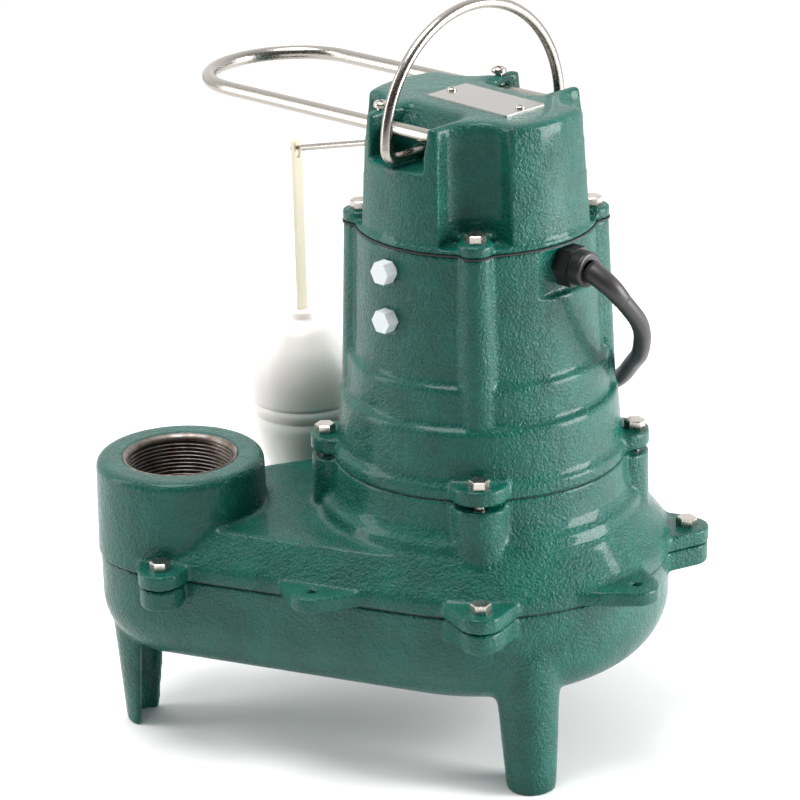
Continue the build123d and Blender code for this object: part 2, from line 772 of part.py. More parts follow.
washer_h = 1.2
with BuildPart() as preload_washer:
    with BuildSketch(level(bearing_seat_z - washer_h)):
        Circle(upper_bearing_r - 0.5)
        Circle(upper_bearing_r - 4.5, mode=Mode.SUBTRACT)
    extrude(amount=washer_h)
finish(preload_washer, "preload_washer")


def bearing(z, outer_r, height):
    """Shielded ball bearing with its shields set back between the two rings."""
    with BuildPart() as ring:
        with BuildSketch(level(z)):
            Circle(outer_r)
            Circle(shaft_r + 0.05, mode=Mode.SUBTRACT)
        extrude(amount=height)
        for face_z, way in ((z, 1), (z + height, -1)):
            with BuildSketch(level(face_z)):
                Circle(outer_r - 3.5)
                Circle(shaft_r + 3.5, mode=Mode.SUBTRACT)
            extrude(amount=way * 0.8, mode=Mode.SUBTRACT)
    return ring.part


with BuildPart() as upper_bearing:
    add(bearing(bearing_seat_z - washer_h - 12, upper_bearing_r, 12))
finish(upper_bearing, "upper_bearing")

with BuildPart() as lower_bearing:
    add(bearing(lower_bearing_z, bearing_r, bearing_h))
finish(lower_bearing, "lower_bearing")

# wound stator
slot_count = 24
winding_low, winding_high = 171.5, 261.0
core_bottom_z, core_top_z = 187.0, 243.0
with BuildPart() as stator_core:
    with BuildSketch(level(core_bottom_z)):
        Circle(stator_r)
        Circle(32.6, mode=Mode.SUBTRACT)
        with PolarLocations(45, slot_count):
            Rectangle(16, 5, mode=Mode.SUBTRACT)
        with PolarLocations(36, slot_count):
            Rectangle(8, 1.8, mode=Mode.SUBTRACT)
    extrude(amount=core_top_z - core_bottom_z)
finish(stator_core, "stator_core")

with BuildPart() as stator_winding:
    for low, high in ((winding_low, core_bottom_z - 0.2), (core_top_z + 0.2, winding_high)):
        with BuildSketch(level(low)):
            Circle(54)
            Circle(36.5, mode=Mode.SUBTRACT)
        extrude(amount=high - low)
    ends = [round_edges(stator_winding, z, 36, 55) for z in (winding_low, winding_high)]
    fillet(ends[0] + ends[1], radius=5)
    with BuildSketch(level(core_bottom_z - 5)):
        with PolarLocations(45, slot_count):
            Rectangle(15, 4.4)
    extrude(amount=core_top_z - core_bottom_z + 10)
finish(stator_winding, "stator_winding")

with BuildPart() as thermal_switch:
    with BuildSketch(level(winding_high, *spot(45, 60))):
        Circle(7)
    extrude(amount=3)
finish(thermal_switch, "thermal_switch")

with BuildPart() as rotor_core:
    with BuildSketch(level(core_bottom_z)):
        Circle(32)
        Circle(shaft_r, mode=Mode.SUBTRACT)
    extrude(amount=core_top_z - core_bottom_z)
    # cast end rings
    for low in (core_bottom_z - 5, core_top_z):
        with BuildSketch(level(low)):
            Circle(31)
            Circle(20, mode=Mode.SUBTRACT)
        extrude(amount=5)
finish(rotor_core, "rotor_core")

with BuildPart() as shaft:
    with BuildSketch(level(62)):
        Circle(5)
    extrude(amount=12)
    with BuildSketch(level(74)):
        Circle(shaft_r)
    extrude(amount=268.5 - 74)
    chamfer(shaft.faces().sort_by(Axis.Z)[-1].edges(), length=0.8)
finish(shaft, "shaft")

# mechanical seal: seat in the cover, rotating head on the shaft
with BuildPart() as seal_seat:
    with BuildSketch(level(chamber_top_z + 0.3)):
        Circle(seal_pocket_r - 0.05)
        Circle(shaft_r + 1.5, mode=Mode.SUBTRACT)
    extrude(amount=seal_pocket_h - 0.3)
finish(seal_seat, "seal_seat")

with BuildPart() as seal_head:
    with BuildSketch(level(107.5)):
        Circle(12.5)
        Circle(shaft_r, mode=Mode.SUBTRACT)
    extrude(amount=chamber_top_z - 0.2 - 107.5)
    with BuildSketch(level(107.5)):
        Circle(14.5)
        Circle(shaft_r, mode=Mode.SUBTRACT)
    extrude(amount=4)
finish(seal_head, "seal_head")

# vortex impeller
shroud_z = 98.0
vane_bottom_z = 74.0
with BuildPart() as impeller:
    with BuildSketch(level(shroud_z)):
        Circle(62)
    extrude(amount=5)
    with BuildSketch(level(vane_bottom_z)):
        Circle(14)
    extrude(amount=107 - vane_bottom_z)
    with BuildSketch(level(vane_bottom_z)):
        with PolarLocations(0, 6):
            with Locations((36, 5)):
                Rectangle(48, 4, rotation=14)
    extrude(amount=shroud_z - vane_bottom_z)
    with BuildSketch(level(vane_bottom_z)):
        Circle(shaft_r)
    extrude(amount=40, mode=Mode.SUBTRACT)
finish(impeller, "impeller")

with BuildPart() as impeller_nut:
    with BuildSketch(level(65)):
        RegularPolygon(9.5, 6, major_radius=False)
        Circle(5, mode=Mode.SUBTRACT)
    extrude(amount=9)
finish(impeller_nut, "impeller_nut")

# ================================================================ power cord
gland_nose_r = 79.0
with BuildPart() as cord_gland:
    with BuildSketch(facing(gland_turn, 53.5, gland_z)):
        Circle(7.95)
    extrude(amount=9)
    with BuildSketch(facing(gland_turn, gland_flat_r, gland_z)):
        RegularPolygon(10.0, 6, major_radius=False)
    extrude(amount=9)
    with BuildSketch(facing(gland_turn, gland_flat_r, gland_z)):
        Circle(9.6)
    extrude(amount=gland_nose_r - gland_flat_r)
    nose = cord_gland.faces().filter_by(GeomType.PLANE).sort_by(Axis(at(0, 0, 0), (cos(radians(gland_turn)),
                                                                sin(radians(gland_turn)), 0)))[-1]
    fillet(nose.edges(), radius=1.6)
    with BuildSketch(facing(gland_turn, 50, gland_z)):
        Circle(cord_r + 0.7)
    extrude(amount=40, mode=Mode.SUBTRACT)
finish(cord_gland, "cord_gland")

# route from the gland, round the motor and down behind the volute to the coil
cord_route = [
    (59.6, -51.8, 280.5), (69.0, -59.9, 275.5), (77.0, -56.0, 264.0), (87.5, -44.5, 246.5),
    (87.2, -27.0, 225.0), (84.2, -1.5, 211.0), (78.5, 31.0, 189.0), (66.0, 66.0, 170.0),
    (60.0, 100.0, 152.0), (60.0, 124.0, 118.0), (61.0, 136.0, 82.0), (62.5, 142.0, 55.6),
    (63.5, 155.5, 32.2), (62.5, 176.5, 14.8), (59.5, 200.5, 5.4), (56.5, 220.5, 4.75)]
tail_route = [
    (-10.0, 278.8, 14.25), (-38.0, 280.5, 13.5), (-67.0, 275.0, 10.0), (-94.0, 259.0, 8.5),
    (-116.0, 238.0, 12.5)]
coil_x, coil_y = -10.0, 212.0
coil_width = 4 * cord_d
coil_height = 2 * cord_d


def corner_radii(points):
    """Largest arc that each corner's two runs allow: 0.45 of the shorter, by half the turn."""
    radii = []
    for before, here, after in zip(points, points[1:], points[2:]):
        run_in = Vector(*here) - Vector(*before)
        run_out = Vector(*after) - Vector(*here)
        half_turn = radians(run_in.get_angle(run_out)) / 2
        radii.append(0.45 * min(run_in.length, run_out.length) / tan(half_turn))
    return radii


def cord_tube(route, radius):
    """Tube along straight runs joined by tangent arcs."""
    points = [at(*p) for p in route]
    radii = corner_radii(points)
    print("cord corner radii, mm:", [round(r, 1) for r in radii])
    with BuildPart() as tube:
        with BuildLine():
            path = FilletPolyline(*points, radius=radii)
        with BuildSketch(Plane(origin=path @ 0, z_dir=path % 0)):
            Circle(radius)
        sweep(path=path)
    print("cord tube volume against section by length:", round(tube.part.volume),
          round(3.14159 * radius ** 2 * path.length))
    return tube.part


with BuildPart() as power_cord:
    add(cord_tube(cord_route, cord_r))
finish(power_cord, "power_cord")

with BuildPart() as cord_tail:
    add(cord_tube(tail_route, cord_r))
finish(cord_tail, "cord_tail")

with BuildPart() as strain_relief:
    relief_route = [at(*p) for p in cord_route[:3]]
    with BuildLine():
        relief_path = FilletPolyline(*relief_route, radius=corner_radii([at(*p) for p in cord_route])[:1])
    with BuildSketch(Plane(origin=relief_path @ 0, z_dir=relief_path % 0)):
        Circle(cord_r + 1.3)
        Circle(cord_r, mode=Mode.SUBTRACT)
    sweep(path=relief_path)
finish(strain_relief, "strain_relief")

with BuildPart() as cord_coil:
    with BuildSketch(upright(0, coil_x, coil_y)):
        with Locations((coil_mean_d / 2, coil_height / 2)):
            RectangleRounded(coil_width, coil_height, cord_r)
    revolve(axis=Axis(at(coil_x, coil_y, 0), (0, 0, 1)))
finish(cord_coil, "cord_coil")

tie_turn = 250.0
tie_wall = 1.2
with BuildPart() as cord_tie:
    with BuildSketch(upright(tie_turn, coil_x, coil_y)):
        with Locations((coil_mean_d / 2, (coil_height + tie_wall) / 2)):
            RectangleRounded(coil_width + 2 * tie_wall, coil_height + tie_wall, cord_r + tie_wall)
        with Locations((coil_mean_d / 2, (coil_height + tie_wall) / 2)):
            RectangleRounded(coil_width, coil_height - tie_wall, cord_r, mode=Mode.SUBTRACT)
    extrude(amount=5, both=True)
finish(cord_tie, "cord_tie")

# moulded three-blade plug
plug_way = Vector(-22, -21, 0).normalized()
plug_root = Vector(*at(*tail_route[-1]))
plug_length = 38.0


def plug_plane(reach):
    """Plane square to the plug's axis."""
    return Plane(origin=plug_root + plug_way * reach, x_dir=Vector(0, 0, 1).cross(plug_way), z_dir=plug_way)


with BuildPart() as cord_plug:
    with BuildSketch(plug_plane(0)):
        Circle(6.2)
    with BuildSketch(plug_plane(13)):
        Circle(8.4)
    loft()
    with BuildSketch(plug_plane(13)):
        RectangleRounded(17, 17, 7)
    with BuildSketch(plug_plane(24)):
        RectangleRounded(25, 24, 7)
    loft()
    with BuildSketch(plug_plane(24)):
        RectangleRounded(25, 24, 7)
    extrude(amount=plug_length - 24)
finish(cord_plug, "cord_plug")

with BuildPart() as plug_blades:
    for side in (-1, 1):
        with BuildSketch(plug_plane(plug_length)):
            with Locations((side * 6.35, 3)):
                Rectangle(1.5, 6.35)
        extrude(amount=17)
    with BuildSketch(plug_plane(plug_length)):
        with Locations((0, -7.0)):
            Circle(2.4)
    extrude(amount=20)
finish(plug_blades, "plug_blades")
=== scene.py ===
import json
from math import cos, floor, pi, radians, sin, sqrt

import bmesh
import bpy
from mathutils import Matrix, Quaternion, Vector


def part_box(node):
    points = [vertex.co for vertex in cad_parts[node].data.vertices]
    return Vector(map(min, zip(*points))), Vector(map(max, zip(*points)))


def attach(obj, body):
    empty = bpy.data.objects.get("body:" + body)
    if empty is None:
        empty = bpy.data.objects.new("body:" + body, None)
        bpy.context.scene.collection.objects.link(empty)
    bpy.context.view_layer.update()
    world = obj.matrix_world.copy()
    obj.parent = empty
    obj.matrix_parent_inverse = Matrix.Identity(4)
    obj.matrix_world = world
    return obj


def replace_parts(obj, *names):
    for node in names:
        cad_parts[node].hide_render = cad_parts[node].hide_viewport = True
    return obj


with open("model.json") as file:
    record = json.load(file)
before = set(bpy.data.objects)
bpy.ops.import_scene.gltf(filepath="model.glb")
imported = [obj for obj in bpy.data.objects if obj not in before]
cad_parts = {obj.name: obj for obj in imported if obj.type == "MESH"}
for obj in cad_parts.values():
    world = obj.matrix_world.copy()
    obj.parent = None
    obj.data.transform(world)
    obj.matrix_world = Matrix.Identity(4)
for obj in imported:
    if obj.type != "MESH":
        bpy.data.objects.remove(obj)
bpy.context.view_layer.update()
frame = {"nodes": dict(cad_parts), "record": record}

nodes = frame["nodes"]
MM = 0.001


def centre_of(node):
    """Middle of a CAD node's box."""
    low, high = (Vector(c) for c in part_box(node))
    return (low + high) / 2


# the shaft stands at the middle of the round stator core
shaft_x = centre_of("stator_core").x
shaft_y = centre_of("stator_core").y


def at(x, y, z):
    """A point in metres, from millimetres measured from the shaft's foot."""
    return Vector((shaft_x + x * MM, shaft_y + y * MM, z * MM))


def st(s, t):
    """Diagonal coordinates to x, y: s along +45 degrees, t along -45 degrees."""
    return ((s + t) / sqrt(2), (s - t) / sqrt(2))


# ================================================================ camera
camera_distance = 1961.8       # millimetres from the target
camera_lens = 162


def make_camera():
    """Long lens in front of the pump, a little above it."""
    elevation, yaw, roll = radians(21.015), radians(1.863), radians(1.46)
    target = Vector((-43.15, 0, 190)) * MM
    back = Vector((0, -cos(elevation), sin(elevation)))
    turn = Matrix.Rotation(yaw, 3, "Z")
    data = bpy.data.cameras.new("camera")
    data.lens = camera_lens
    data.sensor_width = 36
    camera = bpy.data.objects.new("camera", data)
    bpy.context.scene.collection.objects.link(camera)
    camera.location = turn @ (target + back * camera_distance * MM) + Vector((shaft_x, shaft_y, 0))
    look = (turn @ -back).to_track_quat("-Z", "Y")
    camera.rotation_mode = "QUATERNION"
    camera.rotation_quaternion = look @ Quaternion((0, 0, 1), -roll)
    data.clip_start, data.clip_end = 0.1, 20
    bpy.context.scene.camera = camera


make_camera()


# ================================================================ material kit
def material(name, color, rough, metallic=0.0, **sockets):
    """Principled material; returns it with its node tree and shader."""
    mat = bpy.data.materials.new(name)
    mat.use_nodes = True
    shader = mat.node_tree.nodes["Principled BSDF"]
    shader.inputs["Base Color"].default_value = (*color, 1)
    shader.inputs["Roughness"].default_value = rough
    shader.inputs["Metallic"].default_value = metallic
    for socket, value in sockets.items():
        shader.inputs[socket.replace("_", " ")].default_value = value
    return mat, mat.node_tree, shader


def coordinates(tree, stretch=(1, 1, 1)):
    """Object coordinates, optionally stretched."""
    source = tree.nodes.new("ShaderNodeTexCoord")
    mapping = tree.nodes.new("ShaderNodeMapping")
    mapping.inputs["Scale"].default_value = stretch
    tree.links.new(source.outputs["Object"], mapping.inputs["Vector"])
    return mapping.outputs["Vector"]


def noise(tree, vector, scale, detail=2.0, roughness=0.5):
    node = tree.nodes.new("ShaderNodeTexNoise")
    node.inputs["Scale"].default_value = scale
    node.inputs["Detail"].default_value = detail
    node.inputs["Roughness"].default_value = roughness
    tree.links.new(vector, node.inputs["Vector"])
    return node.outputs["Fac"]


def ramp(tree, value, stops):
    """Colour ramp from (place, colour) stops."""
    node = tree.nodes.new("ShaderNodeValToRGB")
    elements = node.color_ramp.elements
    while len(elements) < len(stops):
        elements.new(0.5)
    for element, (place, color) in zip(elements, stops):
        element.position = place
        element.color = (*color, 1)
    tree.links.new(value, node.inputs["Fac"])
    return node.outputs["Color"]


def spread(tree, value, low, high, out_low, out_high):
    """Map a value's range to another."""
    node = tree.nodes.new("ShaderNodeMapRange")
    for socket, number in (("From Min", low), ("From Max", high), ("To Min", out_low), ("To Max", out_high)):
        node.inputs[socket].default_value = number
    tree.links.new(value, node.inputs["Value"])
    return node.outputs["Result"]


def bump(tree, shader, height, depth, strength=1.0, after=None):
    """Bump of the given depth in metres, chained after another bump."""
    node = tree.nodes.new("ShaderNodeBump")
    node.inputs["Distance"].default_value = depth
    node.inputs["Strength"].default_value = strength
    tree.links.new(height, node.inputs["Height"])
    if after is not None:
        tree.links.new(after, node.inputs["Normal"])
    tree.links.new(node.outputs["Normal"], shader.inputs["Normal"])
    return node.outputs["Normal"]


# ================================================================ materials
def enamel_material():
    """Teal enamel over sand-cast iron: strong orange peel on a slightly lumpy casting."""
    mat, tree, shader = material("enamel", (0.002, 0.07, 0.05), 0.3, Specular_IOR_Level=0.2,
                                 Coat_Weight=0.22, Coat_Roughness=0.1)
    where = coordinates(tree)
    tone = noise(tree, where, 60, 3)
    tint = ramp(tree, tone, [(0.3, (0.001, 0.060, 0.044)), (0.7, (0.002, 0.086, 0.064))])
    tree.links.new(tint, shader.inputs["Base Color"])
    rough = spread(tree, noise(tree, where, 900, 2), 0.3, 0.7, 0.22, 0.38)
    tree.links.new(rough, shader.inputs["Roughness"])
    lumps = bump(tree, shader, noise(tree, where, 110, 2), 0.0012)
    bump(tree, shader, noise(tree, where, 640, 2, 0.55), 0.0012, after=lumps)
    return mat


def steel_material(name, color, rough, grain, depth=0.000006):
    """Satin stainless with a fine drawn or brushed grain."""
    mat, tree, shader = material(name, color, rough, 1.0)
    where = coordinates(tree, grain)
    fine = noise(tree, where, 1400, 3)
    tree.links.new(spread(tree, fine, 0.3, 0.7, rough - 0.08, rough + 0.1), shader.inputs["Roughness"])
    bump(tree, shader, fine, depth)
    return mat


def rusty_iron_material():
    """Raw machined cast iron with thin brown oxide."""
    mat, tree, shader = material("raw_iron", (0.26, 0.24, 0.22), 0.42, 1.0)
    where = coordinates(tree)
    stain = noise(tree, where, 120, 5, 0.65)
    tint = ramp(tree, stain, [(0.35, (0.27, 0.25, 0.24)), (0.66, (0.15, 0.11, 0.085))])
    tree.links.new(tint, shader.inputs["Base Color"])
    tree.links.new(spread(tree, stain, 0.3, 0.7, 0.33, 0.6), shader.inputs["Roughness"])
    bump(tree, shader, noise(tree, where, 1500, 2), 0.00004)
    return mat


def moulded_material(name, color, rough, depth=0.00003, scale=1300, **sockets):
    """Moulded plastic or rubber with a faint skin texture."""
    mat, tree, shader = material(name, color, rough, **sockets)
    where = coordinates(tree)
    skin = noise(tree, where, scale, 2)
    tree.links.new(spread(tree, skin, 0.3, 0.7, rough - 0.05, rough + 0.08), shader.inputs["Roughness"])
    bump(tree, shader, skin, depth)
    return mat


def mottled_material(name, dark, light, rough, metallic, scale=220):
    """Two-tone surface for hidden machined, laminated or wound pieces."""
    mat, tree, shader = material(name, light, rough, metallic)
    where = coordinates(tree)
    tint = ramp(tree, noise(tree, where, scale, 4), [(0.3, dark), (0.7, light)])
    tree.links.new(tint, shader.inputs["Base Color"])
    bump(tree, shader, noise(tree, where, scale * 4, 2), 0.00005)
    return mat


enamel = enamel_material()
raw_iron = rusty_iron_material()
wire_steel = steel_material("wire_steel", (0.36, 0.335, 0.305), 0.24, (1, 1, 1))
bolt_steel = steel_material("bolt_steel", (0.50, 0.465, 0.42), 0.24, (1, 1, 1))
plate_steel = steel_material("plate_steel", (0.40, 0.39, 0.375), 0.36, (0.12, 1, 1), 0.00002)
nylon = moulded_material("nylon", (0.60, 0.65, 0.67), 0.3, Subsurface_Weight=0.15, Subsurface_Scale=0.004)
rod_cream = moulded_material("rod_cream", (0.60, 0.56, 0.43), 0.42, Subsurface_Weight=0.2,
                             Subsurface_Scale=0.003)
frosted = moulded_material("frosted", (0.70, 0.685, 0.66), 0.38, 0.00006, 700, Subsurface_Weight=0.35,
                           Subsurface_Scale=0.012, Coat_Weight=0.1)
gland_black = moulded_material("gland_black", (0.012, 0.011, 0.011), 0.36, 0.00004)
jacket = moulded_material("jacket", (0.02, 0.0185, 0.0185), 0.42, 0.00003, 2200)
gasket_black = moulded_material("gasket_black", (0.01, 0.012, 0.012), 0.6)
tie_black = moulded_material("tie_black", (0.012, 0.012, 0.013), 0.45)
phenolic = moulded_material("phenolic", (0.02, 0.02, 0.025), 0.4)
ceramic = moulded_material("ceramic", (0.75, 0.73, 0.68), 0.3)
brass = mottled_material("brass", (0.55, 0.40, 0.15), (0.72, 0.55, 0.25), 0.28, 1.0)
machined = mottled_material("machined", (0.22, 0.22, 0.22), (0.34, 0.34, 0.33), 0.42, 1.0)
lamination = mottled_material("lamination", (0.14, 0.15, 0.17), (0.28, 0.29, 0.31), 0.45, 1.0, 90)
copper = mottled_material("copper", (0.32, 0.10, 0.04), (0.55, 0.22, 0.10), 0.35, 0.9, 500)
shaft_steel = steel_material("shaft_steel", (0.62, 0.62, 0.62), 0.2, (1, 1, 1))

finishes = {
    "enamel": enamel, "gasket": gasket_black, "stainless": bolt_steel, "plate": plate_steel,
    "wire": wire_steel, "nylon": nylon, "rod_plastic": rod_cream, "float_plastic": frosted,
    "gland": gland_black, "cord_jacket": jacket, "tie": tie_black, "brass": brass,
    "switch": phenolic, "bracket": bolt_steel, "machined_iron": machined, "shaft_steel": shaft_steel,
    "lamination": lamination, "copper": copper, "ceramic": ceramic, "seal": gasket_black}
slot_of = {entry["node"]: entry["material_slot"] for entry in frame["record"]["subparts"]}


def dress(obj, mat):
    """One material on the whole piece."""
    if not obj.data.materials:
        obj.data.materials.append(mat)
    for place in range(len(obj.data.materials)):
        obj.data.materials[place] = mat


for name, node in nodes.items():
    dress(node, finishes[slot_of[name]])


# ================================================================ mesh kit
def link(name, mesh, mat, body):
    """New piece that rides on a body and is dressed in the given material."""
    obj = bpy.data.objects.new(name, mesh)
    bpy.context.scene.collection.objects.link(obj)
    dress(obj, mat)
    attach(obj, body)
    return obj


def baked(obj):
    """Mesh of an object with its modifiers applied."""
    graph = bpy.context.evaluated_depsgraph_get()
    return bpy.data.meshes.new_from_object(obj.evaluated_get(graph))


def share_at(height, stops):
    """Weight at a height, from (height, weight) stops."""
    for (low, below), (high, above) in zip(stops, stops[1:]):
        if low <= height <= high:
            return below + (above - below) * (height - low) / (high - low)
    return 0.0


kept_fade = 6                  # millimetres over which the extra rounding comes in


def soften(work, stops, kept, passes):
    """Extra rounding between heights and away from the kept (x, y, reach) spots."""
    group = work.vertex_groups.new(name="soft")
    for vertex in work.data.vertices:
        share = share_at(vertex.co.z / MM, stops)
        for x, y, reach in kept:
            away = (vertex.co.xy - at(x, y, 0).xy).length / MM
            share = min(share, (away - reach) / kept_fade)
        if share > 0:
            group.add([vertex.index], share, "REPLACE")
    more = work.modifiers.new("more", "SMOOTH")
    more.factor = 0.5
    more.iterations = passes
    more.vertex_group = "soft"


def rounded_copy(node, voxel, passes, cutters, stops, kept, more):
    """Copy of a CAD node's mesh with its edges rounded, as in a casting."""
    work = bpy.data.objects.new("work", nodes[node].data.copy())
    bpy.context.scene.collection.objects.link(work)
    for cutter in cutters:
        cut = work.modifiers.new("cut", "BOOLEAN")
        cut.object = cutter
        cut.solver = "EXACT"
    grid = work.modifiers.new("grid", "REMESH")
    grid.mode = "VOXEL"
    grid.voxel_size = voxel
    work.data = baked(work)
    work.modifiers.clear()
    soft = work.modifiers.new("soft", "SMOOTH")
    soft.factor = 0.5
    soft.iterations = passes
    if stops:
        soften(work, stops, kept, more)
    mesh = baked(work)
    bpy.data.objects.remove(work)
    mesh.shade_smooth()
    return mesh


def grid_mesh(name, rows, closed_rows=True, cap_ends=False):
    """Quads between rows of points; each row runs round when closed_rows is set."""
    mesh = bpy.data.meshes.new(name)
    count = len(rows[0])
    points = [p for row in rows for p in row]
    faces = []
    for i in range(len(rows) - 1):
        for j in range(count if closed_rows else count - 1):
            k = (j + 1) % count
            faces.append((i * count + j, i * count + k, (i + 1) * count + k, (i + 1) * count + j))
    if cap_ends:
        faces.append(tuple(reversed(range(count))))
        faces.append(tuple(range((len(rows) - 1) * count, len(rows) * count)))
    mesh.from_pydata(points, [], faces)
    mesh.shade_smooth()
    return mesh


def lathe(name, profile, x, y, steps=96):
    """Surface of revolution about the vertical through (x, y), from (radius, height) pairs."""
    rows = []
    for r, z in profile:
        rows.append([at(x + r * cos(2 * pi * k / steps), y + r * sin(2 * pi * k / steps), z)
                     for k in range(steps)])
    return grid_mesh(name, rows)


def cylinder_cutter(x, y, radius, low, high):
    """Plain cylinder that a boolean cuts with."""
    mesh = lathe("cutter", [(0.01, low), (radius, low), (radius, high), (0.01, high)], x, y)
    bm = bmesh.new()
    bm.from_mesh(mesh)
    bmesh.ops.remove_doubles(bm, verts=bm.verts, dist=0.00005)
    bmesh.ops.recalc_face_normals(bm, faces=bm.faces)
    bm.to_mesh(mesh)
    bm.free()
    cutter = bpy.data.objects.new("cutter", mesh)
    bpy.context.scene.collection.objects.link(cutter)
    return cutter


# ================================================================ power cord
cord_d = 9.5
cord_route = [
    (59.6, -51.8, 280.5), (69.0, -59.9, 275.5), (77.0, -56.0, 264.0), (87.5, -44.5, 246.5),
    (87.2, -27.0, 225.0), (84.2, -1.5, 211.0), (78.5, 31.0, 189.0), (66.0, 66.0, 170.0),
    (60.0, 100.0, 152.0), (60.0, 124.0, 118.0), (61.0, 136.0, 82.0), (62.5, 142.0, 55.6),
    (63.5, 155.5, 32.2), (62.5, 176.5, 14.8), (59.5, 200.5, 5.4), (56.5, 220.5, 4.75)]
tail_route = [
    (-10.0, 278.8, 14.25), (-38.0, 280.5, 13.5), (-67.0, 275.0, 10.0), (-94.0, 259.0, 8.5),
    (-116.0, 238.0, 12.5)]
coil_x, coil_y = -10.0, 212.0
coil_outer_r = 66.75
coil_turns = 7.25
turn_points = 24
lower_turns = 4                # turns that lie on the floor; the same number of columns above
step_share = 0.16              # part of a turn that each step sideways or up takes
curve_pull = 0.75              # how far the curve runs inside its control points


def ease(value):
    """Smooth step from 0 to 1."""
    value = min(max(value, 0.0), 1.0)
    return value * value * (3 - 2 * value)


def coil_place(turn):
    """Column from the outside and layer from the floor: inward below, then outward on top."""
    whole = floor(turn)
    part = turn - whole
    last = lower_turns - 1
    if whole < last:
        return whole + ease((part - 0.80) / step_share), 0.0
    if whole == last:
        return float(last), ease((part - 0.60) / step_share)
    return max(2 * lower_turns - 1.0 - whole - ease((part - 0.40) / step_share), 0.0), 1.0


def coil_points():
    """Control points of the wound length."""
    points = []
    for k in range(1, int(coil_turns * turn_points)):
        turn = k / turn_points
        column, layer = coil_place(turn)
        radius = (coil_outer_r - column * cord_d) / cos(pi / turn_points) ** curve_pull
        angle = 2 * pi * turn
        points.append((coil_x + radius * cos(angle), coil_y + radius * sin(angle),
                       cord_d / 2 + layer * cord_d))
    return points


def smooth_curve(name, points, radius):
    """NURBS curve with the points as its control points."""
    data = bpy.data.curves.new(name, "CURVE")
    data.dimensions = "3D"
    data.resolution_u = 8
    data.bevel_depth = radius * MM
    data.bevel_resolution = 6
    data.use_fill_caps = True
    spline = data.splines.new("NURBS")
    spline.points.add(len(points) - 1)
    for place, p in zip(spline.points, points):
        place.co = (*at(*p), 1)
    spline.order_u = 3
    spline.use_endpoint_u = True
    return data


cord = link("power_lead", smooth_curve("power_lead", cord_route + coil_points() + tail_route, cord_d / 2),
            jacket, "pump")
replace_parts(cord, "power_cord", "cord_coil", "cord_tail")


def line_of(curve, length):
    """Points of a curve's own line from its start, up to a length in metres."""
    bare = bpy.data.objects.new("bare", curve.data.copy())
    bpy.context.scene.collection.objects.link(bare)
    bare.data.bevel_depth = 0
    bare.data.use_fill_caps = False
    mesh = baked(bare)
    points, run = [mesh.vertices[0].co.copy()], 0.0
    for vertex in mesh.vertices[1:]:
        run += (vertex.co - points[-1]).length
        if run > length:
            break
        points.append(vertex.co.copy())
    bpy.data.objects.remove(bare)
    return points


sleeve_length = 0.026
sleeve_thick, sleeve_thin = 6.05, 4.9


def strain_relief():
    """Tapered rubber sleeve over the start of the cord."""
    line = line_of(cord, sleeve_length)
    rows = []
    side = Vector((0, 0, 1))
    steps = 40
    for i, p in enumerate(line):
        before, after = line[max(i - 1, 0)], line[min(i + 1, len(line) - 1)]
        way = (after - before).normalized()
        side = (side - way * side.dot(way)).normalized()
        other = way.cross(side)
        share = i / (len(line) - 1)
        radius = (sleeve_thick - (sleeve_thick - sleeve_thin) * share) * MM
        rows.append([p + (side * cos(2 * pi * k / steps) + other * sin(2 * pi * k / steps)) * radius
                     for k in range(steps)])
    return link("cord_sleeve", grid_mesh("cord_sleeve", rows, cap_ends=True), jacket, "pump")


sleeve = strain_relief()
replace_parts(sleeve, "strain_relief")

# ================================================================ castings
boss_x, boss_y = -165.0, 2.0
bore_r = 28.3
mouth_r = 31.5
boss_top = 159.0
thread_pitch, thread_depth = 25.4 / 11.5, 1.5
thread_taper = 32              # the radius falls by one part in this many of the depth
root_gap = 0.35                # from the CAD bore to the thread's root
coarse = 0.0011
bore_cutter = cylinder_cutter(boss_x, boss_y, mouth_r, 128, 164)
# the cover's ears and the left leg keep their edges
cover_ears = [(0, -113, 17), (113, 0, 17), (0, 113, 17), (boss_x - 8.2, boss_y - 54.5, 17),
              (boss_x - 8.2, boss_y + 54.5, 17), (82.4, -79.6, 20), (-90.0, -83.7, 20)]
cover_band = [(106, 0), (110, 1), (129, 1), (133, 0)]
base_band = [(26, 0), (42, 1), (84, 1), (92, 0)]
cap_band = [(344, 0), (354, 1), (370, 1)]
for node, passes, cutters, stops, kept, more in (
        ("volute_base", 8, (), base_band, [(-187.5, 1, 24)], 50),
        ("volute_cover", 6, (bore_cutter,), cover_band, cover_ears, 40),
        ("motor_housing", 3, (), [], [], 0),
        ("switch_cap", 4, (), cap_band, [], 70)):
    passes = passes
    mesh = rounded_copy(node, coarse, passes, cutters, stops, kept, more)
    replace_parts(link("cast_" + node, mesh, enamel, "pump"), node)
bpy.data.objects.remove(bore_cutter)


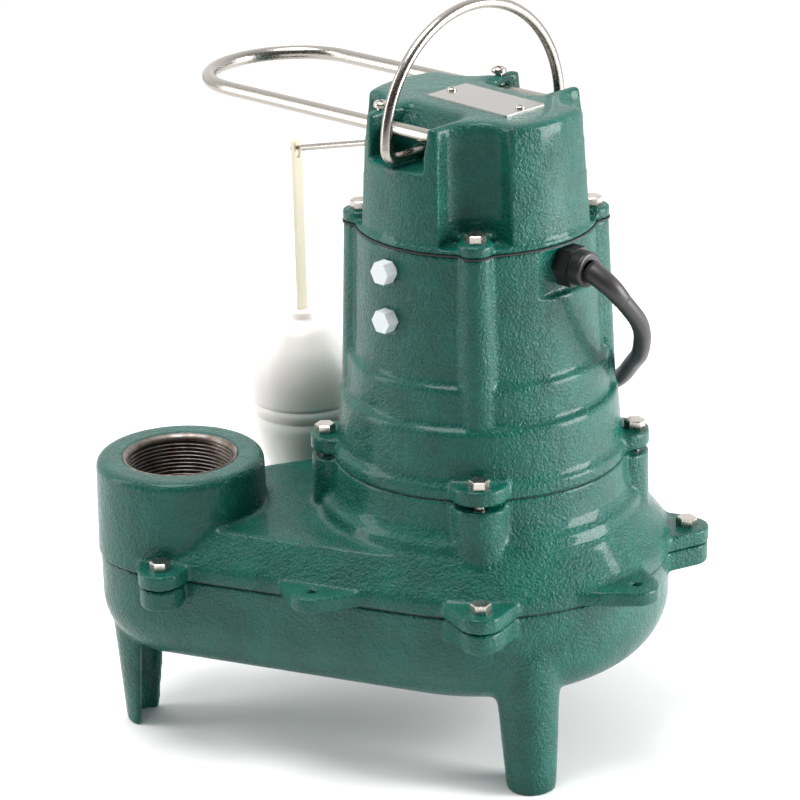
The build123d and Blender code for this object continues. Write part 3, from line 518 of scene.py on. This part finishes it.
def pipe_thread():
    """Threaded ring in the discharge: lead-in chamfer, then the helical thread."""
    steps, rounds = 144, 10
    low, high = 128.5, boss_top - 3.0
    rows = [[], [], []]
    for k in range(steps):
        a = 2 * pi * k / steps
        for row, (r, z) in zip(rows, ((mouth_r + 0.15, low), (mouth_r + 0.15, boss_top - 0.25),
                                      (mouth_r - 0.25, boss_top - 0.1))):
            row.append(at(boss_x + r * cos(a), boss_y + r * sin(a), z))
    count = int((high - low) / thread_pitch * rounds)
    for i in range(count + 1):
        z = high - (high - low) * i / count
        row = []
        for k in range(steps):
            phase = (z / thread_pitch - k / steps) % 1.0
            ridge = min(1.0, max(0.0, 1.25 - abs(phase - 0.5) * 3.0)) * ease((high - z) / 1.2)
            r = bore_r + root_gap + ridge * thread_depth * 0.9 - (high - z) / thread_taper
            a = 2 * pi * k / steps
            row.append(at(boss_x + r * cos(a), boss_y + r * sin(a), z))
        rows.append(row)
    rows.append(rows[0])
    return grid_mesh("pipe_thread", rows)


link("pipe_thread", pipe_thread(), raw_iron, "pump")

# ================================================================ fasteners, plugs, gland and plate
for node, edge in (("cover_bolts", 0.0004), ("housing_bolts", 0.0004), ("cap_bolts", 0.0004),
                   ("oil_plugs", 0.0007), ("cord_gland", 0.0006), ("nameplate", 0.0002),
                   ("cord_tie", 0.0003)):
    smooth = nodes[node].modifiers.new("round", "BEVEL")
    smooth.width = edge
    smooth.segments = 3
    smooth.limit_method = "ANGLE"
    smooth.angle_limit = radians(40)
    smooth.harden_normals = True

# ================================================================ float
float_x, float_y = st(0, -142.5)


def float_profile():
    """Half section of the blow-moulded float, with its two weld beads."""
    return [(0.5, 207.6), (8.4, 207.6), (8.9, 207.2), (8.9, 204.2), (9.4, 203.2), (11.5, 202.3),
            (14.5, 201.3), (17.2, 199.9), (19.6, 197.6), (22.0, 194.3), (24.4, 191.0), (26.8, 187.4),
            (28.6, 183.2), (30.0, 178.6), (31.0, 173.5), (31.4, 168.0), (31.4, 162.0), (31.2, 157.0),
            (31.1, 155.6), (30.7, 155.2), (30.7, 154.6), (31.0, 154.2), (30.8, 151.0), (30.5, 147.8),
            (30.1, 147.4), (30.1, 146.8), (30.3, 146.4), (29.4, 140.0), (28.4, 134.6), (27.2, 129.6),
            (25.7, 123.4), (24.2, 117.6), (22.7, 111.6), (21.3, 106.0), (19.6, 101.2), (17.3, 96.4),
            (14.4, 92.4), (11.0, 90.0), (7.0, 88.5), (3.0, 87.9), (0.5, 87.85)]


float_shell = link("float_shell", lathe("float_shell", float_profile(), float_x, float_y, 128), frosted,
                   "float")
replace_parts(float_shell, "float_upper", "float_lower")


# ================================================================ stage
def make_floor():
    mesh = bpy.data.meshes.new("floor")
    half = 6.0
    mesh.from_pydata([(-half, -half, 0), (half, -half, 0), (half, half, 0), (-half, half, 0)], [],
                     [(0, 1, 2, 3)])
    ground = bpy.data.objects.new("floor", mesh)
    bpy.context.scene.collection.objects.link(ground)
    dress(ground, material("floor", (0.9, 0.9, 0.9), 0.7)[0])


def area_light(name, place, aim, size, power):
    data = bpy.data.lights.new(name, "AREA")
    data.shape = "RECTANGLE"
    data.size, data.size_y = size
    data.energy = power
    lamp = bpy.data.objects.new(name, data)
    bpy.context.scene.collection.objects.link(lamp)
    lamp.location = place
    lamp.rotation_mode = "QUATERNION"
    lamp.rotation_quaternion = (Vector(aim) - Vector(place)).to_track_quat("-Z", "Y")


def make_world():
    """Studio surround: bright above and behind the pump, dim in front of it."""
    world = bpy.data.worlds.new("studio")
    bpy.context.scene.world = world
    world.use_nodes = True
    tree = world.node_tree
    source = tree.nodes.new("ShaderNodeTexCoord")
    split = tree.nodes.new("ShaderNodeSeparateXYZ")
    tree.links.new(source.outputs["Generated"], split.inputs["Vector"])
    depth = spread(tree, split.outputs["Y"], -0.6, 0.7, 0.05, 1.3)
    height = spread(tree, split.outputs["Z"], 0.45, 0.95, 0.0, 0.55)
    both = tree.nodes.new("ShaderNodeMath")
    both.operation = "MAXIMUM"
    tree.links.new(depth, both.inputs[0])
    tree.links.new(height, both.inputs[1])
    backdrop = tree.nodes["Background"]
    backdrop.inputs["Color"].default_value = (1, 1, 1, 1)
    tree.links.new(both.outputs["Value"], backdrop.inputs["Strength"])


def make_light():
    middle = (0, 0, 0.2)
    area_light("left", (-1.5, 0.0, 0.7), middle, (0.5, 1.5), 13)
    area_light("right", (1.5, -0.25, 0.5), middle, (0.7, 0.9), 42)
    area_light("top", (-0.3, -0.2, 1.9), middle, (1.0, 0.9), 32)


make_floor()
make_world()
make_light()
bpy.context.scene.view_settings.view_transform = "Standard"
